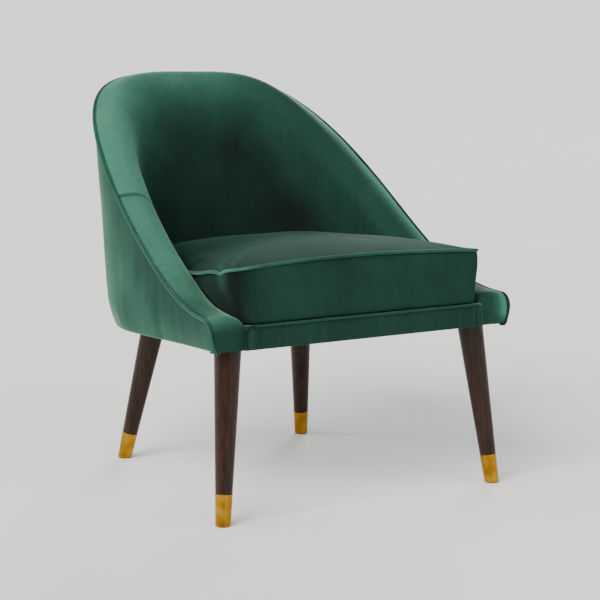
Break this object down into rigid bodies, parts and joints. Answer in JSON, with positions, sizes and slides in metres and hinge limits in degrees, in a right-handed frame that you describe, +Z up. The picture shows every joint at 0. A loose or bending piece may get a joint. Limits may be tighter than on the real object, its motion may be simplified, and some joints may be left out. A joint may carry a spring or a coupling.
{
  "type": "dining chair",
  "caption": "Upholstered barrel-back dining chair with sloping padded arms, a loose piped box cushion and splayed round legs in metal ferrules.",
  "frame": {"origin": "centre of the chair's bounding box in X and Y, on the floor at Z = 0", "axes": "+Z up, the chair faces -Y, +X to the right of a viewer looking at its front"},
  "size_m": [0.6434, 0.7217, 0.762],
  "materials": {
    "velvet": "matte",
    "cloth": "matte",
    "foam": "matte",
    "wadding": "matte",
    "webbing": "matte",
    "hardwood": "matte",
    "plywood": "matte",
    "walnut_stain": "satin",
    "brass": "polished",
    "zinc_steel": "satin",
    "nylon": "matte"
  },
  "bodies": {
    "chair": {"leg_front_left": "walnut_stain", "leg_front_right": "walnut_stain", "leg_rear_left": "walnut_stain", "leg_rear_right": "walnut_stain", "ferrule_front_left": "brass", "ferrule_front_right": "brass", "ferrule_rear_left": "brass", "ferrule_rear_right": "brass", "glides": "nylon", "hanger_bolts": "zinc_steel", "t_nuts": "zinc_steel", "front_rail": "hardwood", "rear_rail": "hardwood", "left_rail": "hardwood", "right_rail": "hardwood", "block_front_left": "hardwood", "block_front_right": "hardwood", "block_rear_left": "hardwood", "block_rear_right": "hardwood", "dowels": "hardwood", "webbing_long": "webbing", "webbing_cross": "webbing", "seat_deck": "cloth", "dust_cover": "cloth", "ply_shell": "plywood", "wadding": "wadding", "foam_back": "foam", "foam_arm_left": "foam", "foam_arm_right": "foam", "cover_outside": "velvet", "cover_inside_back": "velvet", "cover_arm_left": "velvet", "cover_arm_right": "velvet", "arm_tip_left": "velvet", "arm_tip_right": "velvet", "rim_piping": "velvet", "rail_foam": "foam", "rail_cover": "velvet", "rail_piping": "velvet", "end_band_left": "velvet", "end_band_right": "velvet"},
    "cushion": {"cushion_core": "foam", "cushion_top": "velvet", "cushion_boxing": "velvet", "cushion_bottom": "velvet", "cushion_piping_top": "velvet", "cushion_piping_bottom": "velvet", "cushion_zip": "cloth"}
  },
  "joints": [
    {"name": "cushion_lift", "type": "slide", "parent": "chair", "child": "cushion", "axis": [0, 0, 1], "range_m": [0, 0.45]}
  ]
}
